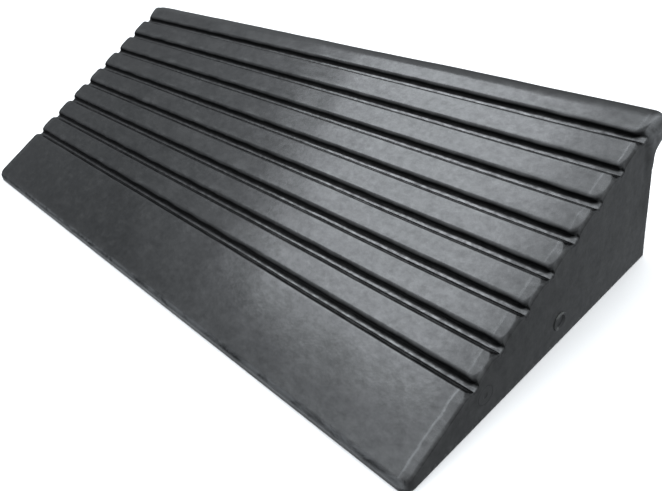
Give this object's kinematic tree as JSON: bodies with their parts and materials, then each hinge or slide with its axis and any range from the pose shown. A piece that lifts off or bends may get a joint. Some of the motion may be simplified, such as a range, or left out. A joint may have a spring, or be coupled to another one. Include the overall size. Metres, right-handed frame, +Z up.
{
  "type": "kerb ramp",
  "caption": "Black rubber kerb ramp wedge with a ribbed tread, flat toe apron, flared top lip and plugged link sockets in both ends.",
  "frame": {"origin": "bottom centre of the ramp, on the road surface", "axes": "+X along the kerb, +Y from the toe towards the kerb face, +Z up"},
  "size_m": [0.756, 0.3146, 0.1294],
  "materials": {
    "moulded_rubber": "satin moulded skin, slightly worn on the rib edges",
    "plug_rubber": "satin moulded",
    "socket_steel": "dull zinc plated"
  },
  "bodies": {
    "ramp": {"ramp_body": "moulded_rubber", "socket_sleeve_right_front": "socket_steel", "socket_sleeve_right_rear": "socket_steel", "socket_sleeve_left_front": "socket_steel", "socket_sleeve_left_rear": "socket_steel"},
    "plug_right_front": {"end_plug_right_front": "plug_rubber"},
    "plug_right_rear": {"end_plug_right_rear": "plug_rubber"},
    "plug_left_front": {"end_plug_left_front": "plug_rubber"},
    "plug_left_rear": {"end_plug_left_rear": "plug_rubber"}
  },
  "joints": [
    {"name": "pull_right_front", "type": "slide", "parent": "ramp", "child": "plug_right_front", "axis": [1, 0, 0], "range_m": [0, 0.12]},
    {"name": "pull_right_rear", "type": "slide", "parent": "ramp", "child": "plug_right_rear", "axis": [1, 0, 0], "range_m": [0, 0.12]},
    {"name": "pull_left_front", "type": "slide", "parent": "ramp", "child": "plug_left_front", "axis": [-1, 0, 0], "range_m": [0, 0.12]},
    {"name": "pull_left_rear", "type": "slide", "parent": "ramp", "child": "plug_left_rear", "axis": [-1, 0, 0], "range_m": [0, 0.12]}
  ]
}
